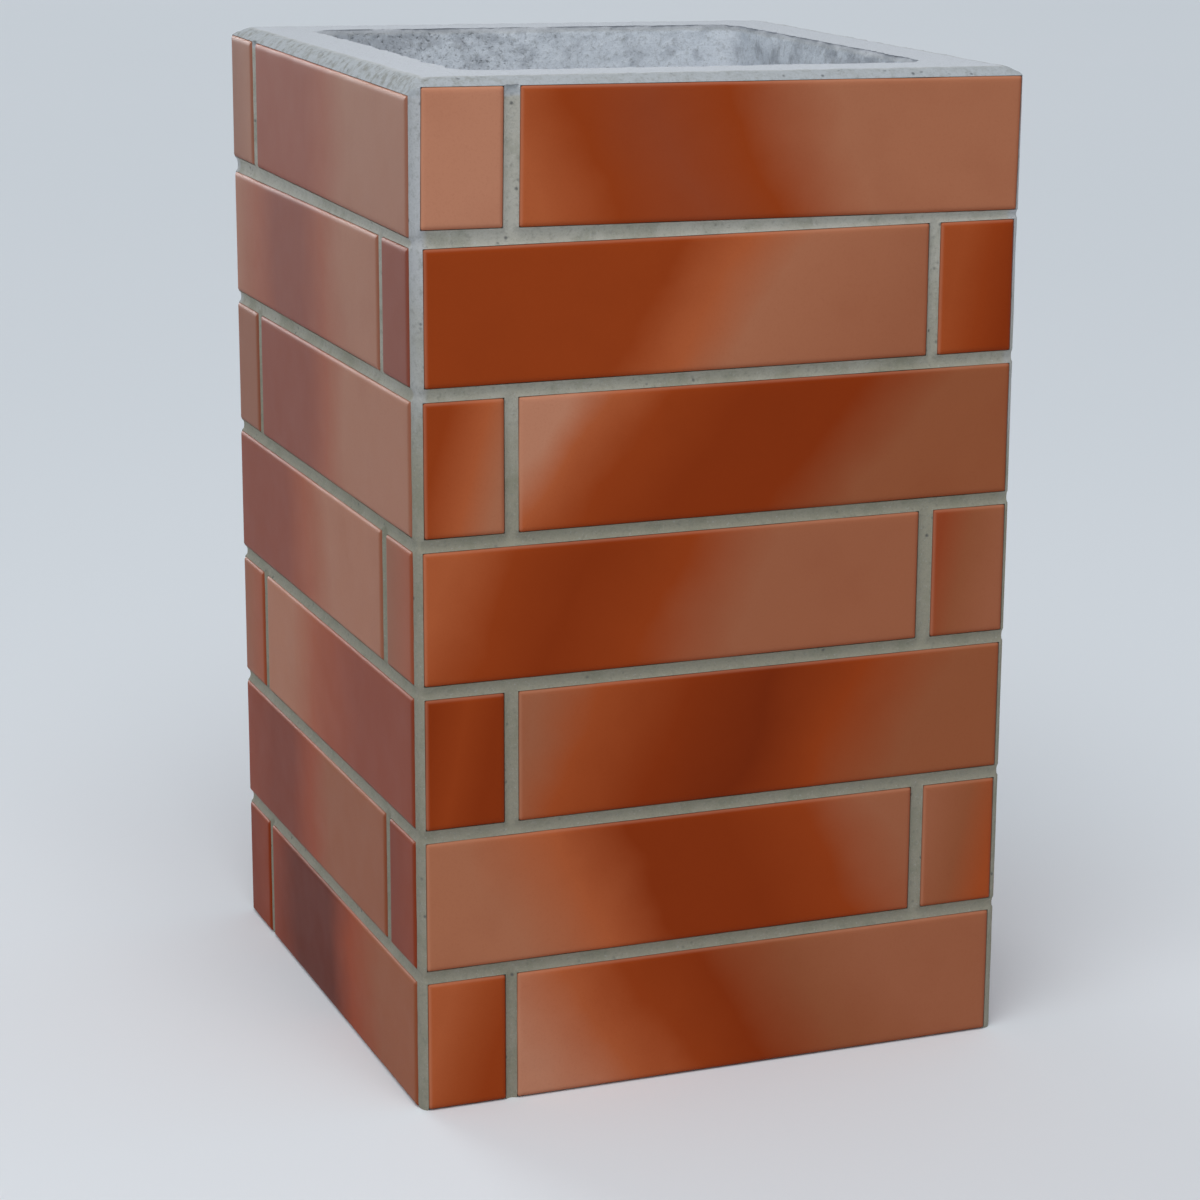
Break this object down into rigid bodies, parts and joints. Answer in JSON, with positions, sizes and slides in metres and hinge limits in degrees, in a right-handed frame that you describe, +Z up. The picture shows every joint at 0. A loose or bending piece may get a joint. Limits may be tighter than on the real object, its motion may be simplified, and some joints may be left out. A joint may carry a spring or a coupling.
{
  "type": "concrete flue block",
  "caption": "Square hollow concrete flue block with an open shaft from top to bottom, faced on every side with flamed, glazed clinker tiles in brick bond.",
  "frame": {"origin": "middle of the underside, on the axis of the shaft", "axes": "+Z up along the shaft, -Y out of the front side, +X to the right of the front side"},
  "size_m": [0.3078, 0.3078, 0.4903],
  "materials": {
    "concrete": "cast, fine-grained and slightly pitted, matt",
    "tile_glaze": "satin glaze, flamed from salmon orange to rust brown"
  },
  "bodies": {
    "root": {"concrete_casing": "concrete", "front_course_1_header": "tile_glaze", "front_course_1_stretcher": "tile_glaze", "front_course_2_header": "tile_glaze", "front_course_2_stretcher": "tile_glaze", "front_course_3_header": "tile_glaze", "front_course_3_stretcher": "tile_glaze", "front_course_4_header": "tile_glaze", "front_course_4_stretcher": "tile_glaze", "front_course_5_header": "tile_glaze", "front_course_5_stretcher": "tile_glaze", "front_course_6_header": "tile_glaze", "front_course_6_stretcher": "tile_glaze", "front_course_7_header": "tile_glaze", "front_course_7_stretcher": "tile_glaze", "right_course_1_header": "tile_glaze", "right_course_1_stretcher": "tile_glaze", "right_course_2_header": "tile_glaze", "right_course_2_stretcher": "tile_glaze", "right_course_3_header": "tile_glaze", "right_course_3_stretcher": "tile_glaze", "right_course_4_header": "tile_glaze", "right_course_4_stretcher": "tile_glaze", "right_course_5_header": "tile_glaze", "right_course_5_stretcher": "tile_glaze", "right_course_6_header": "tile_glaze", "right_course_6_stretcher": "tile_glaze", "right_course_7_header": "tile_glaze", "right_course_7_stretcher": "tile_glaze", "back_course_1_header": "tile_glaze", "back_course_1_stretcher": "tile_glaze", "back_course_2_header": "tile_glaze", "back_course_2_stretcher": "tile_glaze", "back_course_3_header": "tile_glaze", "back_course_3_stretcher": "tile_glaze", "back_course_4_header": "tile_glaze", "back_course_4_stretcher": "tile_glaze", "back_course_5_header": "tile_glaze", "back_course_5_stretcher": "tile_glaze", "back_course_6_header": "tile_glaze", "back_course_6_stretcher": "tile_glaze", "back_course_7_header": "tile_glaze", "back_course_7_stretcher": "tile_glaze", "left_course_1_header": "tile_glaze", "left_course_1_stretcher": "tile_glaze", "left_course_2_header": "tile_glaze", "left_course_2_stretcher": "tile_glaze", "left_course_3_header": "tile_glaze", "left_course_3_stretcher": "tile_glaze", "left_course_4_header": "tile_glaze", "left_course_4_stretcher": "tile_glaze", "left_course_5_header": "tile_glaze", "left_course_5_stretcher": "tile_glaze", "left_course_6_header": "tile_glaze", "left_course_6_stretcher": "tile_glaze", "left_course_7_header": "tile_glaze", "left_course_7_stretcher": "tile_glaze"}
  },
  "joints": []
}
